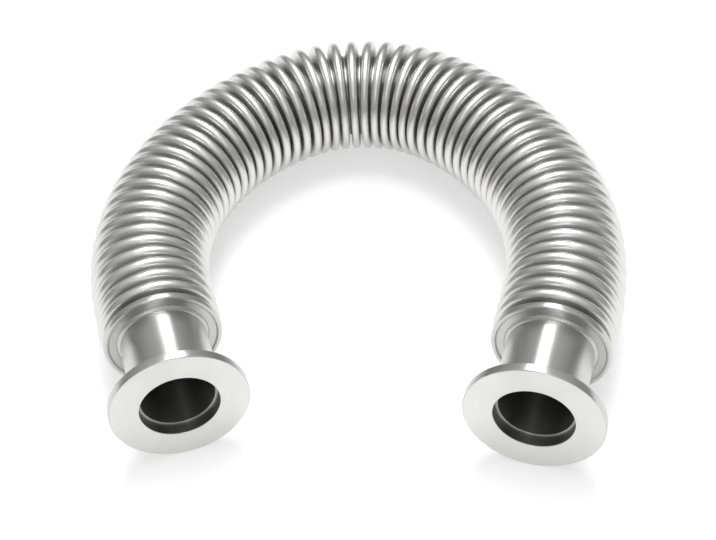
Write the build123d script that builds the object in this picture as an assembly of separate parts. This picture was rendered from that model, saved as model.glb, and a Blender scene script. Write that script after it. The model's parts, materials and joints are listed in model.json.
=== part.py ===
"""Vacuum bellows hose, bent into a horseshoe and lying on its side.

A tube of thin stainless steel is formed into ring-shaped convolutions, so that it bends but
holds a vacuum. Each end is closed by a turned end ring, which is welded to the stub of a
small clamp flange. The two flanges are alike; the two legs of the bend are not quite.

Millimetres, +Z up. The hose rests on Z = 0 on the edges of its flanges, with the crown of the
bend towards +Y, the flanges facing -Y, and the origin under the middle of its outline.
"""
import os
from math import cos, radians, sin, tan

from build123d import *

# Flange and stub tube, turned in one piece
FLANGE_OD = 30.0
FLANGE_EDGE = 2.0  # width of the cylindrical edge
FLANGE_BACK_SLOPE = 15.0  # degrees; the clamp pulls on this cone
SEAL_RECESS_OD = 17.2  # the centring ring of the seal sits here
SEAL_RECESS_DEPTH = 2.6
BORE = 16.0
STUB_OD = 19.0
STUB_LENGTH = 19.4  # from the sealing face to the front of the end ring
FLANGE_BREAK = 0.25  # broken edges of the rim
STUB_ROOT_RADIUS = 0.6  # where the stub runs into the flange's back

# End ring, welded on the end of the stub
RING_OD = 26.0
RING_THICKNESS = 1.8
RING_LIP = 0.9  # width of the raised lip round its edge
RING_EDGE_ROUND = 0.55
RING_DISH = 0.35  # how far the face lies behind the lip
STUB_WELD = 0.7  # leg of the weld fillet round the stub

# Bellows wall, measured on its outer surface
WALL = 0.2
CREST_OD = 26.7
CREST_RADIUS = 1.05  # rounding of a crest
ROOT_OD = 19.5
ROOT_RADIUS = 0.5  # rounding of a groove's floor
CONVOLUTIONS = 57
NECK_LENGTH = 0.9  # plain tube between the end ring and the first groove's floor

# Bend of the centreline: a tight crown, then a wider arc and a straight end in each leg
CROWN_BEND = 34.5
CROWN_HALF_SWEEP = 30.5  # degrees
LEFT_BEND = 57.0
LEFT_SWEEP = 79.0
LEFT_STRAIGHT = 10.0
RIGHT_BEND = 63.0
RIGHT_SWEEP = 70.0
RIGHT_STRAIGHT = 12.0

AXIS_HEIGHT = FLANGE_OD / 2
RING_FACE = STUB_LENGTH + RING_DISH  # from the sealing face to the ring's dished face
RING_BACK = STUB_LENGTH + RING_THICKNESS
LEGS = {
    -1: (LEFT_BEND, radians(LEFT_SWEEP), LEFT_STRAIGHT),
    1: (RIGHT_BEND, radians(RIGHT_SWEEP), RIGHT_STRAIGHT),
}


def leg_length(side):
    """Centreline from the crown's middle to the back of the end ring."""
    bend, sweep, straight = LEGS[side]
    return CROWN_BEND * radians(CROWN_HALF_SWEEP) + bend * sweep + straight


def station(distance):
    """Plane across the centreline, at a distance from the crown's middle; the left leg's is negative.

    Its normal points from the left flange towards the right one, and its X direction is up.
    """
    side = 1 if distance >= 0 else -1
    bend, sweep, _ = LEGS[side]
    crown_sweep = radians(CROWN_HALF_SWEEP)
    travel = abs(distance)
    crown_turn = min(travel / CROWN_BEND, crown_sweep)
    travel -= crown_turn * CROWN_BEND
    leg_turn = min(travel / bend, sweep)
    travel -= leg_turn * bend
    turn = crown_turn + leg_turn
    x = CROWN_BEND * sin(crown_turn) + bend * (sin(turn) - sin(crown_turn)) + travel * cos(turn)
    y = CROWN_BEND * (cos(crown_turn) - 1) + bend * (cos(turn) - cos(crown_turn)) - travel * sin(turn)
    return Plane(
        origin=(side * x, y, AXIS_HEIGHT),
        x_dir=(0, 0, 1),
        z_dir=(cos(turn), -side * sin(turn), 0),
    )


def end_plane(side):
    """Plane on a sealing face, with its normal out of the hose."""
    end = station(side * leg_length(side))
    outward = end.z_dir * side
    return Plane(origin=end.origin + outward * RING_BACK, x_dir=(0, 0, 1), z_dir=outward)


def ring_wall(plane, centre_radius, rounding, outward):
    """Half a torus round the centreline, with the circles where it ends."""
    tip = centre_radius + rounding * (1 if outward else -1)
    section = Edge.make_three_point_arc(
        plane.from_local_coords((centre_radius, 0, -rounding)),
        plane.from_local_coords((tip, 0, 0)),
        plane.from_local_coords((centre_radius, 0, rounding)),
    )
    face = Face.revolve(section, 360, Axis(plane.origin, plane.z_dir))
    rims = [Wire([Edge.make_circle(centre_radius, plane.offset(step))]) for step in (-rounding, rounding)]
    return face, rims


def convolution_planes():
    """Planes of the grooves and crests in turn, from groove to groove."""
    start = -leg_length(-1) + NECK_LENGTH
    length = leg_length(1) - NECK_LENGTH - start
    pitch = length / CONVOLUTIONS
    return [station(start + pitch * step / 2) for step in range(2 * CONVOLUTIONS + 1)]


def bellows_surface(planes, ends, crest_rounding, root_rounding):
    """Faces of one side of the bellows wall, and its two end circles."""
    crest_centre = CREST_OD / 2 - CREST_RADIUS
    root_centre = ROOT_OD / 2 + ROOT_RADIUS
    neck_radius = root_centre - root_rounding
    faces = []
    last_rim = None
    for step, plane in enumerate(planes):
        if step % 2:
            wall, rims = ring_wall(plane, crest_centre, crest_rounding, True)
        else:
            wall, rims = ring_wall(plane, root_centre, root_rounding, False)
        if step in (0, len(planes) - 1):
            # the first and last grooves are halves that run out into the neck
            wall, rims = half_groove(plane, root_centre, root_rounding, step == 0)
        faces.append(wall)
        if last_rim is not None:
            faces.append(Face.make_surface_from_curves(last_rim, rims[0]))
        last_rim = rims[1]
    necks = [Wire([Edge.make_circle(neck_radius, end)]) for end in ends]
    floors = [Wire([Edge.make_circle(neck_radius, plane)]) for plane in (planes[0], planes[-1])]
    faces += [Face.make_surface_from_curves(neck, floor) for neck, floor in zip(necks, floors)]
    return faces, necks


def half_groove(plane, centre_radius, rounding, first):
    """Quarter torus from the neck's radius up to the flank, at either end of the bellows."""
    step = rounding if first else -rounding
    middle = centre_radius - rounding * cos(radians(45))
    section = Edge.make_three_point_arc(
        plane.from_local_coords((centre_radius - rounding, 0, 0)),
        plane.from_local_coords((middle, 0, step * sin(radians(45)))),
        plane.from_local_coords((centre_radius, 0, step)),
    )
    face = Face.revolve(section, 360, Axis(plane.origin, plane.z_dir))
    rim = Wire([Edge.make_circle(centre_radius, plane.offset(step))])
    return face, [rim, rim]


def make_bellows():
    """One thin wall: crests and grooves are rings, and flanks run straight between their circles."""
    planes = convolution_planes()
    ends = [station(-leg_length(-1)), station(leg_length(1))]
    outside, outer_necks = bellows_surface(planes, ends, CREST_RADIUS, ROOT_RADIUS)
    inside, inner_necks = bellows_surface(planes, ends, CREST_RADIUS - WALL, ROOT_RADIUS + WALL)
    rims = [
        Face(outer, [inner])
        for outer, inner in zip(outer_necks, inner_necks)
    ]
    return Solid(Shell(outside + inside + rims))


def make_flange():
    """Flange and stub about Z, with the sealing face at Z = 0 and the stub along -Z."""
    edge = FLANGE_OD / 2
    stub = STUB_OD / 2
    cone_end = FLANGE_EDGE + (edge - stub) * tan(radians(FLANGE_BACK_SLOPE))
    outline = Polyline(
        (BORE / 2, -SEAL_RECESS_DEPTH),
        (SEAL_RECESS_OD / 2, -SEAL_RECESS_DEPTH),
        (SEAL_RECESS_OD / 2, 0),
        (edge, 0),
        (edge, -FLANGE_EDGE),
        (stub, -cone_end),
        (stub, -RING_BACK),
        (BORE / 2, -RING_BACK),
        close=True,
    )
    corners = Plane.XZ * make_face(outline)
    softened = fillet(corners.vertices().sort_by(Axis.X)[-2:], FLANGE_BREAK)
    neck = [v for v in softened.vertices() if abs(v.X - stub) < 1e-6 and abs(v.Z + cone_end) < 1e-6]
    return revolve(fillet(neck, STUB_ROOT_RADIUS), Axis.Z)


def make_end_ring():
    """End ring about Z, in the flange's frame: a dished disc with a rounded edge and the stub's weld."""
    edge = RING_OD / 2
    stub = STUB_OD / 2
    outline = Polyline(
        (stub, -RING_BACK),
        (edge, -RING_BACK),
        (edge, -STUB_LENGTH),
        (edge - RING_LIP, -STUB_LENGTH),
        (edge - RING_LIP - RING_DISH, -RING_FACE),
        (stub + STUB_WELD, -RING_FACE),
        (stub, -RING_FACE + STUB_WELD),
        close=True,
    )
    profile = Plane.XZ * make_face(outline)
    rim = [v for v in profile.vertices() if abs(v.X - edge) < 1e-6]
    return revolve(fillet(rim, RING_EDGE_ROUND), Axis.Z)


flange = make_flange()
end_ring = make_end_ring()
pieces = {"bellows": make_bellows()}
for name, side in (("left", -1), ("right", 1)):
    place = end_plane(side).location
    pieces[f"{name}_flange"] = place * flange
    pieces[f"{name}_end_ring"] = place * end_ring

# the origin goes under the middle of the outline
box = Compound(list(pieces.values())).bounding_box()
shift = Location((-(box.min.X + box.max.X) / 2, -(box.min.Y + box.max.Y) / 2, 0))
os.makedirs("parts", exist_ok=True)
for name, piece in pieces.items():
    export_step(shift * piece, f"parts/{name}.step")
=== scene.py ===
# %% [markdown]
# # Vacuum bellows hose
# A stainless steel hose for pipework under vacuum. Its thin wall is formed into ring-shaped
# convolutions, so that it bends without losing its round section. A turned end ring closes each
# end, and is welded to the stub of a small clamp flange. The rigid model gives sizes and places,
# and this file gives the finished surfaces.

# %% Load the rigid model
import json
from math import cos, pi, radians, sin, tan

import bmesh
import bpy
from mathutils import Matrix, Quaternion, Vector


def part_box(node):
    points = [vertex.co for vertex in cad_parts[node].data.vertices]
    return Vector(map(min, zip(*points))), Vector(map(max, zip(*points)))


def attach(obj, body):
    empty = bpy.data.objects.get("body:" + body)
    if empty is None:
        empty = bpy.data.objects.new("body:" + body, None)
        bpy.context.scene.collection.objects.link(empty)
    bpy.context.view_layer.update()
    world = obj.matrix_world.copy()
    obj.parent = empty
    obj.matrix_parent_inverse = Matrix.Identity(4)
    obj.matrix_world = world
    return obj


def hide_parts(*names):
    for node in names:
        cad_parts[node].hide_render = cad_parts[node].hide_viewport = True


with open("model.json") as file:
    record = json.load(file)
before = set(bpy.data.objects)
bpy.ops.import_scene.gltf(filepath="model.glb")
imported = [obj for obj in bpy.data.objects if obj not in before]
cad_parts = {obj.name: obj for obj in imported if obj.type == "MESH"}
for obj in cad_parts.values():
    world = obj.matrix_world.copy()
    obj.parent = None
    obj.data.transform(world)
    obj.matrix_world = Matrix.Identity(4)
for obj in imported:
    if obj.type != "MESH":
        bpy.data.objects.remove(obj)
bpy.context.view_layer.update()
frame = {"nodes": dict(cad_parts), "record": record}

MM = 0.001  # one millimetre in Blender's metres
UP = Vector((0, 0, 1))
mounts = {mount["name"]: mount for mount in frame["record"]["mounts"]}
print("nodes:", sorted(frame["nodes"]))

# %% [markdown]
# ## Two helpers
# Colours are written as hex values, as a paint chart gives them, and Blender shades in linear
# light, so one function converts them. The other adds one node to a tree, with its settings and
# its inputs. An input that is given a socket is linked to it, and any other input is set.

# %% Colour and node helpers
def linear(hex_colour):
    """An sRGB hex colour as the linear RGBA that Blender shades with."""
    shares = [int(hex_colour[n:n + 2], 16) / 255 for n in (1, 3, 5)]
    return [s / 12.92 if s <= 0.04045 else ((s + 0.055) / 1.055) ** 2.4 for s in shares] + [1.0]


def add(tree, kind, inputs=None, **settings):
    """Adds one node. Settings are its own properties; inputs are its sockets by name or number."""
    made = tree.nodes.new(kind)
    for name, value in settings.items():
        setattr(made, name, value)
    for socket, value in (inputs or {}).items():
        if isinstance(value, bpy.types.NodeSocket):
            tree.links.new(value, made.inputs[socket])
        else:
            made.inputs[socket].default_value = value
    return made


# %% [markdown]
# ## Steel finishes
# All of it is stainless steel, which is a plain grey metal: metallic 1, with the default IOR. What
# the eye tells apart is mostly how each surface was made. Turning leaves fine rings round the axis,
# so the flanges and end rings carry a bump along the first coordinate of their UV map, which is the
# distance along the turned outline in millimetres. The marks too fine to draw spread each highlight
# across them, into a streak along the piece, and the shader's anisotropy does the same. The bore and
# the recess wall get a much darker copy of the steel, which is painted shade for the dark inside of
# the bore. Forming between rollers leaves the bellows smooth, with faint clouds in its polish, and
# the floors of its grooves are darkened with painted shade. The weld bead keeps the ripples of its
# pool.

# %% Start a material
def new_steel(name, colour, roughness):
    """A plain metal to build a finish on: its tree and its shader."""
    material = bpy.data.materials.new(name)
    material.use_nodes = True
    shader = material.node_tree.nodes["Principled BSDF"]
    shader.inputs["Base Color"].default_value = linear(colour)
    shader.inputs["Metallic"].default_value = 1.0
    shader.inputs["Roughness"].default_value = roughness
    return material, material.node_tree, shader


CLOUD_SIZE_MM = 6.0
NOISE_LOW = 0.3  # most of a noise texture's values lie between these two
NOISE_HIGH = 0.7


def cloud_roughness(tree, shader, low, high):
    """Roughness that drifts between two values in soft patches."""
    place = add(tree, "ShaderNodeTexCoord")
    clouds = add(tree, "ShaderNodeTexNoise", {
        "Vector": place.outputs["Object"], "Scale": 1 / (CLOUD_SIZE_MM * MM), "Detail": 1.0})
    drift = add(tree, "ShaderNodeMapRange", {
        "Value": clouds.outputs["Fac"], "From Min": NOISE_LOW, "From Max": NOISE_HIGH,
        "To Min": low, "To Max": high})
    tree.links.new(drift.outputs["Result"], shader.inputs["Roughness"])


# %% Turned steel
TOOL_MARK_MM = 0.35  # real marks lie about 0.1 mm apart, too fine to show, so these are coarser
TOOL_MARK_DEPTH_MM = 0.0035


def turned_finish(name, colour, low, high, streak):
    """Steel from the lathe. Streak, up to 1, is how far its rings draw out a highlight."""
    material, tree, shader = new_steel(name, colour, low)
    cloud_roughness(tree, shader, low, high)
    shader.inputs["Anisotropic"].default_value = streak
    across = add(tree, "ShaderNodeTangent", direction_type="UV_MAP", uv_map="outline")
    tree.links.new(across.outputs["Tangent"], shader.inputs["Tangent"])
    chart = add(tree, "ShaderNodeUVMap", uv_map="outline")
    parts = add(tree, "ShaderNodeSeparateXYZ", {"Vector": chart.outputs["UV"]})
    marks = add(tree, "ShaderNodeTexNoise", {
        "W": parts.outputs["X"], "Scale": 1 / TOOL_MARK_MM, "Detail": 2.0}, noise_dimensions="1D")
    bump = add(tree, "ShaderNodeBump", {
        "Height": marks.outputs["Fac"], "Distance": TOOL_MARK_DEPTH_MM * MM, "Strength": 1.0})
    tree.links.new(bump.outputs["Normal"], shader.inputs["Normal"])
    return material


turned_steel = turned_finish("turned stainless steel", "#CACAC9", low=0.28, high=0.34, streak=0.88)
faced_steel = turned_finish("faced stainless steel", "#DEDEDD", low=0.40, high=0.48, streak=0.4)
# The bore and the recess wall get a much darker steel: painted shade for the dark inside of the bore.
bore_steel_painted_shade = turned_finish("bore steel, darkened as painted shade", "#787877", low=0.36, high=0.42, streak=0.93)
print("turned finishes:", turned_steel.name, faced_steel.name, bore_steel_painted_shade.name)

# %% Formed steel, for the bellows
FORMED_COLOUR = "#DADAD9"
DENT_SIZE_MM = 12.0
DENT_DEPTH_MM = 0.02

formed_steel, formed_tree, formed_shader = new_steel("formed stainless steel", FORMED_COLOUR, 0.32)
cloud_roughness(formed_tree, formed_shader, low=0.29, high=0.35)
where = add(formed_tree, "ShaderNodeTexCoord")
dents = add(formed_tree, "ShaderNodeTexNoise", {
    "Vector": where.outputs["Object"], "Scale": 1 / (DENT_SIZE_MM * MM), "Detail": 1.0})
soft_bump = add(formed_tree, "ShaderNodeBump", {
    "Height": dents.outputs["Fac"], "Distance": DENT_DEPTH_MM * MM, "Strength": 1.0})
formed_tree.links.new(soft_bump.outputs["Normal"], formed_shader.inputs["Normal"])

# %% Painted shade in the grooves
# Painted shade: the floor of each groove gets a darker colour, which stands in for the shade that
# falls deep in the grooves. Each point of the bellows stores its distance from the axis, as the last
# part of its "spot".
GROOVE_SHADE_COLOUR = "#9C9C9B"
PAINTED_SHADE_WITHIN_MM = 10.2  # of the axis
UNSHADED_BEYOND_MM = 11.9
MIX_A, MIX_B, MIX_RESULT = 6, 7, 2  # the Mix node's colour sockets; its other kinds share their names

spot_on_wall = add(formed_tree, "ShaderNodeAttribute", attribute_name="spot")
wall_parts = add(formed_tree, "ShaderNodeSeparateXYZ", {0: spot_on_wall.outputs["Vector"]})
unshaded_share = add(formed_tree, "ShaderNodeMapRange", {
    "Value": wall_parts.outputs["Z"],
    "From Min": PAINTED_SHADE_WITHIN_MM * MM, "From Max": UNSHADED_BEYOND_MM * MM})
wall_colour = add(formed_tree, "ShaderNodeMix", {
    "Factor": unshaded_share.outputs["Result"],
    MIX_A: linear(GROOVE_SHADE_COLOUR), MIX_B: linear(FORMED_COLOUR)}, data_type="RGBA")
formed_tree.links.new(wall_colour.outputs[MIX_RESULT], formed_shader.inputs["Base Color"])

# %% Weld bead
RIPPLES = 96  # round the bead, about 0.65 mm apart
RIPPLE_DEPTH_MM = 0.008

weld_bead, weld_tree, weld_shader = new_steel("weld bead", "#C4C4C2", 0.34)
bead_chart = add(weld_tree, "ShaderNodeUVMap", uv_map="outline")
bead_parts = add(weld_tree, "ShaderNodeSeparateXYZ", {"Vector": bead_chart.outputs["UV"]})
round_bead = add(weld_tree, "ShaderNodeMath", {
    0: bead_parts.outputs["Y"], 1: 2 * pi * RIPPLES}, operation="MULTIPLY")
ripple = add(weld_tree, "ShaderNodeMath", {0: round_bead.outputs[0]}, operation="SINE")
bead_bump = add(weld_tree, "ShaderNodeBump", {
    "Height": ripple.outputs[0], "Distance": RIPPLE_DEPTH_MM * MM, "Strength": 1.0})
weld_tree.links.new(bead_bump.outputs["Normal"], weld_shader.inputs["Normal"])
print("formed and welded finishes:", formed_steel.name, weld_bead.name)

# %% [markdown]
# ## Turned pieces
# A flange and an end ring are each one outline turned round the hose's axis. A lathe does the same,
# so the outline is written as corners, each with its own small rounding, and swept in a full circle.
# A Screw modifier could sweep it too, but writing the rings gives each face its place along the
# outline for the tool marks, and its own finish. Radii and depths behind the sealing face are in
# millimetres.

# %% Round the corners of an outline
def rounded(corners, steps=4):
    """Corners (radius, depth, rounding, finish of the run that follows) as points with their finish."""
    points = []
    for n, (radius, depth, rounding, finish) in enumerate(corners):
        corner = Vector((radius, depth))
        if not rounding:
            points.append((corner, finish))
            continue
        back = (Vector(corners[n - 1][:2]) - corner).normalized()
        onward = (Vector(corners[(n + 1) % len(corners)][:2]) - corner).normalized()
        half = back.angle(onward) / 2
        middle = corner + (back + onward).normalized() * rounding / sin(half)
        first = corner + back * rounding / tan(half) - middle
        last = corner + onward * rounding / tan(half) - middle
        for step in range(steps + 1):
            spoke = first.lerp(last, step / steps).normalized() * rounding
            points.append((middle + spoke, finish))
    return points


# %% Turn an outline round a flange's axis
SEGMENTS = 256
SHARP_ANGLE = radians(35)  # corners sharper than this stay crisp
AXIS_HEIGHT = sum(corner.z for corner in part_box("left_flange")) / 2


def turn(name, corners, mount_name, finishes):
    """A turned piece, closed, with its place in its mesh. Its seam lies underneath."""
    mount = mounts[mount_name]
    axis = Vector(mount["axis"]).normalized()
    face_centre = Vector((*mount["pos_m"][:2], AXIS_HEIGHT))
    sideways = axis.cross(UP)
    outline = rounded(corners)
    count = len(outline)
    lengths = [0.0]
    for n in range(count):
        lengths.append(lengths[-1] + (outline[(n + 1) % count][0] - outline[n][0]).length)
    shape = bmesh.new()
    chart = shape.loops.layers.uv.new("outline")
    rings = []
    for segment in range(SEGMENTS):
        turned_by = 2 * pi * segment / SEGMENTS + pi
        spoke = UP * cos(turned_by) + sideways * sin(turned_by)
        rings.append([shape.verts.new(face_centre + (spoke * point.x - axis * point.y) * MM)
                      for point, _ in outline])
    for segment in range(SEGMENTS):
        ring = rings[segment]
        following = rings[(segment + 1) % SEGMENTS]
        for n in range(count):
            onward = (n + 1) % count
            face = shape.faces.new((ring[n], following[n], following[onward], ring[onward]))
            face.material_index = finishes.index(outline[n][1])
            spots = ((n, segment), (n, segment + 1), (n + 1, segment + 1), (n + 1, segment))
            for loop, (along, around) in zip(face.loops, spots):
                loop[chart].uv = (lengths[along], around / SEGMENTS)
    bmesh.ops.recalc_face_normals(shape, faces=shape.faces)
    mesh = bpy.data.meshes.new(name)
    shape.to_mesh(mesh)
    shape.free()
    mesh.shade_smooth()
    mesh.set_sharp_from_angle(angle=SHARP_ANGLE)
    for finish in finishes:
        mesh.materials.append(finish)
    piece = bpy.data.objects.new(name, mesh)
    bpy.context.scene.collection.objects.link(piece)
    print(name, len(mesh.polygons) * 2, "triangles")
    return piece


# %% [markdown]
# ## Flanges
# The flange is the small clamp kind: a flat face that a sealing ring is pressed against, a recess
# that centres it, and a back that slopes by 15 degrees, which the clamp's jaws wedge along. The
# stub behind it is turned with it in one piece. Every edge is broken, because a burr would cut the
# seal, and those narrow bands are what catches the light.

# %% The flange outline
FLANGE_RADIUS = 15.0
FLANGE_EDGE = 2.0
STUB_RADIUS = 9.5
BORE_RADIUS = 8.0
RECESS_RADIUS = 8.6
RECESS_DEPTH = 2.6
BACK_SLOPE = radians(15)
RING_BACK = 21.2  # from the sealing face to the back of the end ring
EDGE_BREAK = 0.15  # the rounding of a small edge
RECESS_FILLET = 0.1
RIM_BREAK = 0.25
STUB_FILLET = 0.6
CONE_END = FLANGE_EDGE + (FLANGE_RADIUS - STUB_RADIUS) * tan(BACK_SLOPE)
flange_corners = [
    (BORE_RADIUS, RECESS_DEPTH, EDGE_BREAK, turned_steel),
    (RECESS_RADIUS, RECESS_DEPTH, RECESS_FILLET, bore_steel_painted_shade),
    (RECESS_RADIUS, 0.0, EDGE_BREAK, faced_steel),
    (FLANGE_RADIUS, 0.0, RIM_BREAK, turned_steel),
    (FLANGE_RADIUS, FLANGE_EDGE, RIM_BREAK, turned_steel),
    (STUB_RADIUS, CONE_END, STUB_FILLET, turned_steel),
    (STUB_RADIUS, RING_BACK, 0.0, turned_steel),
    (BORE_RADIUS, RING_BACK, 0.0, bore_steel_painted_shade),
]
flange_finishes = [turned_steel, faced_steel, bore_steel_painted_shade]

# %% Turn both flanges
for side in ("left", "right"):
    flange = turn(f"{side}_flange_turned", flange_corners, f"{side}_sealing_face", flange_finishes)
    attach(flange, "root")
    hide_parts(f"{side}_flange")

# %% [markdown]
# ## End rings
# Each ring is a disc with a raised, rounded lip and a face dished a little behind it. The bead that
# welds it to the stub is a small bulge in the corner between them. It is part of the same outline,
# with its own finish, because on the real piece the two metals have run together.

# %% The end ring outline, with its bead
RING_RADIUS = 13.0
RING_FRONT = 19.4
DISH_DEPTH = 19.75
RING_ROUNDING = 0.55
LIP_RADIUS = 12.1  # the inner edge of the raised lip
DISH_RADIUS = 11.75
BEAD_RADIUS = 10.25  # where the bead meets the dish
BEAD_FRONT = 19.05  # where it meets the stub
BEAD_SHOULDERS = ((10.1, 19.5), (9.75, 19.15))  # radius and depth of the two corners of its bulge
BEAD_ROUNDING = 0.12
end_ring_corners = [
    (STUB_RADIUS, RING_BACK, 0.0, turned_steel),
    (RING_RADIUS, RING_BACK, RING_ROUNDING, turned_steel),
    (RING_RADIUS, RING_FRONT, RING_ROUNDING, turned_steel),
    (LIP_RADIUS, RING_FRONT, EDGE_BREAK, turned_steel),
    (DISH_RADIUS, DISH_DEPTH, EDGE_BREAK, turned_steel),
    (BEAD_RADIUS, DISH_DEPTH, 0.0, weld_bead),
    *((radius, depth, BEAD_ROUNDING, weld_bead) for radius, depth in BEAD_SHOULDERS),
    (STUB_RADIUS, BEAD_FRONT, 0.0, turned_steel),
]
ring_finishes = [turned_steel, weld_bead]

# %% Turn both end rings
for side in ("left", "right"):
    end_ring = turn(f"{side}_end_ring_turned", end_ring_corners, f"{side}_sealing_face", ring_finishes)
    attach(end_ring, "root")
    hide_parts(f"{side}_end_ring")

# %% [markdown]
# ## Bellows
# The wall is one thin sheet of steel with 57 equal convolutions. Each is a ring that stays flat when
# the hose bends: the crests fan out on the outside of the bend and close up on the inside. So the
# bellows is built as it works. A point of the outline is written as three numbers: the place of its
# ring along the centreline, its own distance from that ring's plane, and its distance from the
# axis. Geometry Nodes repeat the outline of one convolution, sweep it round, and only then set each
# point in the plane of its ring on the bent centreline. A crest also widens a little where the bend
# stretches it, and narrows where the bend closes it. Sweeping a tube along the curve and
# swelling it would be shorter, but would shear every crest in the tight crown.

# %% Sizes of the bellows, in millimetres
WALL = 0.2
CREST_CENTRE = 12.3  # from the axis to the centre of a crest's rounding
CREST_ROUNDING = 1.05  # of the crest's height
CREST_HALF_WIDTH = 1.2  # on a straight run
CREST_OPENING = 0.5  # share of the local stretch that a crest takes up by widening
ROOT_CENTRE = 10.25
ROOT_ROUNDING = 0.5
CONVOLUTIONS = 57
NECK = 0.9  # plain tube at each end
BELLOWS_SEGMENTS = 84  # round the hose
JOIN_WITHIN = 0.01  # points closer than this become one
LEFT_STRAIGHT = 10.0
LEFT_BEND, LEFT_TURN = 57.0, radians(79)  # radius, and angle turned
CROWN_BEND, CROWN_TURN = 34.5, radians(61)
RIGHT_BEND, RIGHT_TURN = 63.0, radians(70)
RIGHT_STRAIGHT = 12.0
ROUTE_STEP = 0.5  # about the distance between points of the centreline in a bend
RUNS = [  # length of each run of the centreline from the left end, and its bend radius
    (LEFT_STRAIGHT, None),
    (LEFT_BEND * LEFT_TURN, LEFT_BEND),
    (CROWN_BEND * CROWN_TURN, CROWN_BEND),
    (RIGHT_BEND * RIGHT_TURN, RIGHT_BEND),
    (RIGHT_STRAIGHT, None),
]
LENGTH = sum(length for length, _ in RUNS)
PITCH = (LENGTH - 2 * NECK) / CONVOLUTIONS
print(f"bellows {LENGTH:.1f} mm long, pitch {PITCH:.3f} mm")


# %% The centreline
def line_object(name, points, links):
    """A mesh of edges alone, as a starting point for the tree."""
    mesh = bpy.data.meshes.new(name)
    mesh.from_pydata(points, links, [])
    made = bpy.data.objects.new(name, mesh)
    bpy.context.scene.collection.objects.link(made)
    return made


left = mounts["left_sealing_face"]
heading = -Vector(left["axis"]).normalized()
here = Vector((*left["pos_m"][:2], AXIS_HEIGHT)) + heading * RING_BACK * MM
route = [here]
curvatures = [0.0]
for length, bend in RUNS:
    steps = 1 if bend is None else round(length / ROUTE_STEP)
    stride = length / steps
    turn_each = 0.0 if bend is None else stride / bend
    chord = stride if bend is None else 2 * bend * sin(turn_each / 2)
    for _ in range(steps):
        heading = Quaternion(UP, -turn_each / 2) @ heading
        here = here + heading * chord * MM
        heading = Quaternion(UP, -turn_each / 2) @ heading
        route.append(here)
        curvatures.append(0.0 if bend is None else 1 / (bend * MM))
centreline = line_object("centreline", route, [(n, n + 1) for n in range(len(route) - 1)])
centreline.data.attributes.new("curvature", "FLOAT", "POINT").data.foreach_set("value", curvatures)
right = mounts["right_sealing_face"]
right_ring = Vector((*right["pos_m"][:2], AXIS_HEIGHT)) - Vector(right["axis"]) * RING_BACK * MM
print(f"the centreline ends {(route[-1] - right_ring).length / MM:.3f} mm from the right end ring")


# %% The outline of one convolution
def convolution(crest_rounding, crest_half_width, root_rounding, crest_steps, root_steps):
    """From the middle of one groove's floor, over a crest, to the middle of the next."""
    half = PITCH / 2
    up = [pi / 2 * step / root_steps for step in range(root_steps + 1)]
    over = [pi * (step / crest_steps - 0.5) for step in range(crest_steps + 1)]
    points = [(-half, root_rounding * sin(a), ROOT_CENTRE - root_rounding * cos(a)) for a in up]
    points += [(0.0, crest_half_width * sin(a), CREST_CENTRE + crest_rounding * cos(a)) for a in over]
    points += [(-x, -y, radius) for x, y, radius in reversed(points[:root_steps + 1])]
    return [Vector(point) * MM for point in points]


outer = convolution(CREST_ROUNDING, CREST_HALF_WIDTH, ROOT_ROUNDING, crest_steps=6, root_steps=2)
inner = convolution(CREST_ROUNDING - WALL, CREST_HALF_WIDTH - WALL, ROOT_ROUNDING + WALL,
                    crest_steps=2, root_steps=2)  # hardly seen, so coarser
outline_links = [(n, n + 1) for n in range(len(outer) + len(inner) - 1) if n != len(outer) - 1]
bellows_seed = line_object("bellows_seed", outer + inner, outline_links)

neck_outer = ROOT_CENTRE - ROOT_ROUNDING
neck_inner = neck_outer - WALL
neck_points = []
for groove, end in ((NECK, 0.0), (LENGTH - NECK, LENGTH)):
    for x, radius in ((groove, neck_outer), (end, neck_outer), (end, neck_inner), (groove, neck_inner)):
        neck_points.append(Vector((x, 0, radius)) * MM)
necks = line_object("necks", neck_points, [(0, 1), (1, 2), (2, 3), (4, 5), (5, 6), (6, 7)])

# %% The bellows tree: its inputs
tree = bpy.data.node_groups.new("bellows", "GeometryNodeTree")
for name, kind in (("Convolution", "NodeSocketGeometry"), ("Necks", "NodeSocketObject"),
                   ("Centreline", "NodeSocketObject"), ("Convolutions", "NodeSocketInt"),
                   ("Pitch", "NodeSocketFloat"), ("First groove", "NodeSocketFloat"),
                   ("Segments", "NodeSocketInt"), ("Opening", "NodeSocketFloat"),
                   ("Finish", "NodeSocketMaterial")):
    tree.interface.new_socket(name, in_out="INPUT", socket_type=kind)
tree.interface.new_socket("Bellows", in_out="OUTPUT", socket_type="NodeSocketGeometry")
given = add(tree, "NodeGroupInput").outputs

# %% The bellows tree: one closed outline, from 57 copies and two necks
half_pitch = add(tree, "ShaderNodeMath", {0: given["Pitch"], 1: 0.5}, operation="MULTIPLY")
first_crest = add(tree, "ShaderNodeMath", {
    0: given["First groove"], 1: half_pitch.outputs[0]}, operation="ADD")
start = add(tree, "ShaderNodeCombineXYZ", {"X": first_crest.outputs[0]})
spacing = add(tree, "ShaderNodeCombineXYZ", {"X": given["Pitch"]})
crests = add(tree, "GeometryNodeMeshLine", {
    "Count": given["Convolutions"], "Start Location": start.outputs[0],
    "Offset": spacing.outputs[0]}, mode="OFFSET")
copies = add(tree, "GeometryNodeInstanceOnPoints", {
    "Points": crests.outputs[0], "Instance": given["Convolution"]})
row = add(tree, "GeometryNodeRealizeInstances", {0: copies.outputs[0]})
neck_lines = add(tree, "GeometryNodeObjectInfo", {"Object": given["Necks"]})
joined = add(tree, "GeometryNodeJoinGeometry", {0: row.outputs[0]})
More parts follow.
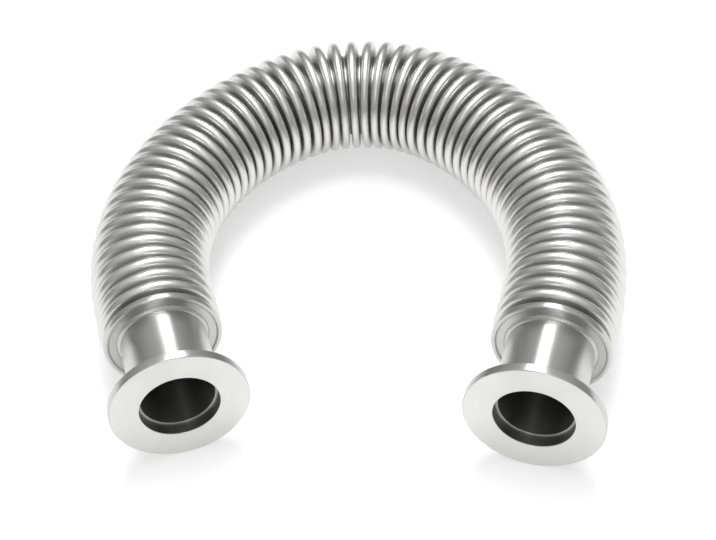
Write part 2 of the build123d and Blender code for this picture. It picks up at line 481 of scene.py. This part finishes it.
tree.links.new(neck_lines.outputs["Geometry"], joined.inputs[0])
merged = add(tree, "GeometryNodeMergeByDistance", {
    "Geometry": joined.outputs[0], "Distance": JOIN_WITHIN * MM})
outline_curve = add(tree, "GeometryNodeMeshToCurve", {0: merged.outputs[0]})

# %% The bellows tree: sweep it round, and keep what each point needs
position = add(tree, "GeometryNodeInputPosition")
marked = add(tree, "GeometryNodeStoreNamedAttribute", {
    "Geometry": outline_curve.outputs[0], "Name": "spot", "Value": position.outputs[0]},
    data_type="FLOAT_VECTOR", domain="POINT")
circle = add(tree, "GeometryNodeCurvePrimitiveCircle", {
    "Resolution": given["Segments"]}, mode="RADIUS")
number = add(tree, "GeometryNodeInputIndex")
share = add(tree, "ShaderNodeMath", {0: number.outputs[0], 1: given["Segments"]}, operation="DIVIDE")
angle = add(tree, "ShaderNodeMath", {0: share.outputs[0], 1: 2 * pi}, operation="MULTIPLY")
spokes = add(tree, "GeometryNodeStoreNamedAttribute", {
    "Geometry": circle.outputs[0], "Name": "turned_by", "Value": angle.outputs[0]},
    data_type="FLOAT", domain="POINT")
swept = add(tree, "GeometryNodeCurveToMesh", {
    "Curve": marked.outputs[0], "Profile Curve": spokes.outputs[0]})

# %% The bellows tree: find each point's ring on the bent centreline
spot_read = add(tree, "GeometryNodeInputNamedAttribute", {"Name": "spot"}, data_type="FLOAT_VECTOR")
turn_read = add(tree, "GeometryNodeInputNamedAttribute", {"Name": "turned_by"}, data_type="FLOAT")
spot_parts = add(tree, "ShaderNodeSeparateXYZ", {0: spot_read.outputs["Attribute"]})
route_object = add(tree, "GeometryNodeObjectInfo", {"Object": given["Centreline"]})
route_curve = add(tree, "GeometryNodeMeshToCurve", {0: route_object.outputs["Geometry"]})
curvature = add(tree, "GeometryNodeInputNamedAttribute", {"Name": "curvature"}, data_type="FLOAT")
ring_here = add(tree, "GeometryNodeSampleCurve", {
    "Curves": route_curve.outputs[0], "Length": spot_parts.outputs["X"],
    "Value": curvature.outputs["Attribute"]}, mode="LENGTH")

# %% The bellows tree: the reach from the centreline, in the plane of the ring
across_ring = add(tree, "ShaderNodeVectorMath", {
    0: ring_here.outputs["Tangent"], 1: UP}, operation="CROSS_PRODUCT")
cosine = add(tree, "ShaderNodeMath", {0: turn_read.outputs["Attribute"]}, operation="COSINE")
sine = add(tree, "ShaderNodeMath", {0: turn_read.outputs["Attribute"]}, operation="SINE")
upwards = add(tree, "ShaderNodeVectorMath", {0: UP, "Scale": cosine.outputs[0]}, operation="SCALE")
sidewards = add(tree, "ShaderNodeVectorMath", {
    0: across_ring.outputs[0], "Scale": sine.outputs[0]}, operation="SCALE")
radial = add(tree, "ShaderNodeVectorMath", {
    0: upwards.outputs[0], 1: sidewards.outputs[0]}, operation="ADD")
reach = add(tree, "ShaderNodeVectorMath", {
    0: radial.outputs[0], "Scale": spot_parts.outputs["Z"]}, operation="SCALE")

# %% The bellows tree: the offset from that plane, wider where the bend stretches the wall
inwards = add(tree, "ShaderNodeMath", {
    0: spot_parts.outputs["Z"], 1: sine.outputs[0]}, operation="MULTIPLY")
squeeze = add(tree, "ShaderNodeMath", {
    0: inwards.outputs[0], 1: ring_here.outputs["Value"]}, operation="MULTIPLY")
taken = add(tree, "ShaderNodeMath", {0: squeeze.outputs[0], 1: given["Opening"]}, operation="MULTIPLY")
width = add(tree, "ShaderNodeMath", {0: 1.0, 1: taken.outputs[0]}, operation="SUBTRACT")
offset = add(tree, "ShaderNodeMath", {
    0: spot_parts.outputs["Y"], 1: width.outputs[0]}, operation="MULTIPLY")
along = add(tree, "ShaderNodeVectorMath", {
    0: ring_here.outputs["Tangent"], "Scale": offset.outputs[0]}, operation="SCALE")

# %% The bellows tree: move the points, and finish
from_ring = add(tree, "ShaderNodeVectorMath", {
    0: reach.outputs[0], 1: along.outputs[0]}, operation="ADD")
final = add(tree, "ShaderNodeVectorMath", {
    0: ring_here.outputs["Position"], 1: from_ring.outputs[0]}, operation="ADD")
bent = add(tree, "GeometryNodeSetPosition", {
    "Geometry": swept.outputs[0], "Position": final.outputs[0]})
smooth = add(tree, "GeometryNodeSetShadeSmooth", {"Geometry": bent.outputs[0]})
whole = add(tree, "GeometryNodeRealizeInstances", {0: smooth.outputs[0]})
finished = add(tree, "GeometryNodeSetMaterial", {
    "Geometry": whole.outputs[0], "Material": given["Finish"]})
add(tree, "NodeGroupOutput", {0: finished.outputs[0]})
print("bellows tree:", len(tree.nodes), "nodes")


# %% Run the tree, and keep its result as a plain mesh
modifier = bellows_seed.modifiers.new("bellows", "NODES")
modifier.node_group = tree
sockets = {item.name: item.identifier for item in tree.interface.items_tree
           if item.in_out == "INPUT"}
for name, value in (("Necks", necks), ("Centreline", centreline), ("Convolutions", CONVOLUTIONS),
                    ("Pitch", PITCH * MM), ("First groove", NECK * MM), ("Segments", BELLOWS_SEGMENTS),
                    ("Opening", CREST_OPENING), ("Finish", formed_steel)):
    modifier[sockets[name]] = value
evaluated = bellows_seed.evaluated_get(bpy.context.evaluated_depsgraph_get())
bellows_mesh = bpy.data.meshes.new_from_object(evaluated)
bellows_seed.modifiers.remove(modifier)
bellows_shape = bmesh.new()
bellows_shape.from_mesh(bellows_mesh)
bmesh.ops.recalc_face_normals(bellows_shape, faces=bellows_shape.faces)
open_edges = sum(not edge.is_manifold for edge in bellows_shape.edges)
bellows_shape.to_mesh(bellows_mesh)
bellows_shape.free()
bellows = bpy.data.objects.new("bellows_formed", bellows_mesh)
bpy.context.scene.collection.objects.link(bellows)
for helper in (bellows_seed, centreline, necks):
    bpy.data.objects.remove(helper)
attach(bellows, "root")
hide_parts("bellows")
triangles = sum(len(face.vertices) - 2 for face in bellows_mesh.polygons)
print("bellows:", triangles, "triangles,", open_edges, "open edges")

# %% [markdown]
# ## Studio
# Polished metal shows its surroundings more than its own colour. A wide pale floor lights it from
# below, one softbox a little behind the zenith draws the bright line along the top of every crest,
# and a dimmer one on the flange side fills the fronts. The rest is a plain grey sky, darker towards
# the horizon, which gives the flanks their mid grey. The floor is white paper. A little light of
# its own, for rays that see it straight or in the metal, brings it up to white and leaves the soft
# shadow under the hose.

# %% Floor
FLOOR_SIZE = 60.0  # metres, so that no corner shows from a low angle
FLOOR_DROP_MM = 0.05  # a hair below the flanges, which stand on it
FLOOR_GLOW = 0.52

floor_mesh = bpy.data.meshes.new("floor")
far = FLOOR_SIZE / 2
floor_corners = [(-far, -far, 0), (far, -far, 0), (far, far, 0), (-far, far, 0)]
floor_mesh.from_pydata(floor_corners, [], [(0, 1, 2, 3)])
floor = bpy.data.objects.new("floor", floor_mesh)
floor.location.z = -FLOOR_DROP_MM * MM
bpy.context.scene.collection.objects.link(floor)

paper = bpy.data.materials.new("white studio paper")
paper.use_nodes = True
paper.node_tree.nodes.clear()
rays = add(paper.node_tree, "ShaderNodeLightPath").outputs
seen = add(paper.node_tree, "ShaderNodeMath", {
    0: rays["Is Camera Ray"], 1: rays["Is Glossy Ray"]}, operation="MAXIMUM")
shown = add(paper.node_tree, "ShaderNodeMath", {
    0: seen.outputs[0], 1: rays["Is Transmission Ray"]}, operation="MAXIMUM")
glow = add(paper.node_tree, "ShaderNodeMath", {
    0: shown.outputs[0], 1: FLOOR_GLOW}, operation="MULTIPLY")
diffuse = add(paper.node_tree, "ShaderNodeBsdfDiffuse", {"Color": linear("#C4C4C4")})
lit = add(paper.node_tree, "ShaderNodeEmission", {
    "Color": linear("#FFFFFF"), "Strength": glow.outputs[0]})
both = add(paper.node_tree, "ShaderNodeAddShader", {0: diffuse.outputs[0], 1: lit.outputs[0]})
add(paper.node_tree, "ShaderNodeOutputMaterial", {"Surface": both.outputs[0]})
floor_mesh.materials.append(paper)
print("floor:", FLOOR_SIZE, "m of", paper.name)

# %% Sky
SKY_HORIZON = 0.15  # its strength at the horizon
SKY_TOP = 0.70
SKY_TOP_FROM = 0.9  # height from which it is at its brightest, where 1 is straight up

world = bpy.data.worlds.new("studio")
bpy.context.scene.world = world
world.use_nodes = True
sky = world.node_tree
sky.nodes.clear()
direction = add(sky, "ShaderNodeTexCoord")
height = add(sky, "ShaderNodeSeparateXYZ", {0: direction.outputs["Generated"]})
level = add(sky, "ShaderNodeMapRange", {
    "Value": height.outputs["Z"], "From Min": 0.0, "From Max": SKY_TOP_FROM,
    "To Min": SKY_HORIZON, "To Max": SKY_TOP})
backdrop = add(sky, "ShaderNodeBackground", {
    "Color": linear("#FFFFFF"), "Strength": level.outputs[0]})
add(sky, "ShaderNodeOutputWorld", {"Surface": backdrop.outputs[0]})

# %% Lamps
def softbox(name, width, length, radiance, distance, elevation, azimuth):
    """A panel aimed at the hose. Azimuth 0 is the flange side, and elevation may go past the zenith."""
    data = bpy.data.lights.new(name, "AREA")
    data.shape = "RECTANGLE"
    data.size = width
    data.size_y = length
    data.energy = radiance * pi * width * length
    lamp = bpy.data.objects.new(name, data)
    bpy.context.scene.collection.objects.link(lamp)
    aim = Vector((sin(azimuth) * cos(elevation), -cos(azimuth) * cos(elevation), sin(elevation)))
    facing = aim.to_track_quat("Z", "Y").to_matrix().to_4x4()
    lamp.matrix_world = Matrix.Translation(aim * distance) @ facing


softbox("overhead_softbox", width=0.42, length=0.80, radiance=9.5, distance=1.1,
        elevation=radians(105), azimuth=0.0)
softbox("front_fill", width=0.24, length=0.50, radiance=2.2, distance=1.2,
        elevation=radians(42), azimuth=radians(3))
print("softboxes:", [light.name for light in bpy.data.lights])

# %% [markdown]
# ## Camera
# A long lens from the flange side, about 45 degrees up and a little to the right, turned slightly on
# its own axis.

# %% Place the camera
TARGET = Vector((0.738, -14.572, 15.0)) * MM
DISTANCE = 364.09 * MM
ELEVATION = radians(45.477)
AZIMUTH = radians(7.396)
ROLL = radians(-4.170)
LENS_MM = 81.695
SENSOR_MM = 36.0
NEAREST_MM = 10.0

camera_data = bpy.data.cameras.new("camera")
camera_data.lens = LENS_MM
camera_data.sensor_width = SENSOR_MM
camera_data.clip_start = NEAREST_MM * MM
camera = bpy.data.objects.new("camera", camera_data)
bpy.context.scene.collection.objects.link(camera)
level_part = cos(ELEVATION)
towards_camera = Vector((sin(AZIMUTH) * level_part, -cos(AZIMUTH) * level_part, sin(ELEVATION)))
turned = towards_camera.to_track_quat("Z", "Y") @ Quaternion((0, 0, 1), ROLL)
camera_place = Matrix.Translation(TARGET + towards_camera * DISTANCE)
camera.matrix_world = camera_place @ turned.to_matrix().to_4x4()
bpy.context.scene.camera = camera
bpy.context.scene.view_settings.view_transform = "Standard"
print(f"camera: {LENS_MM:.0f} mm lens, {DISTANCE / MM:.0f} mm from the hose")
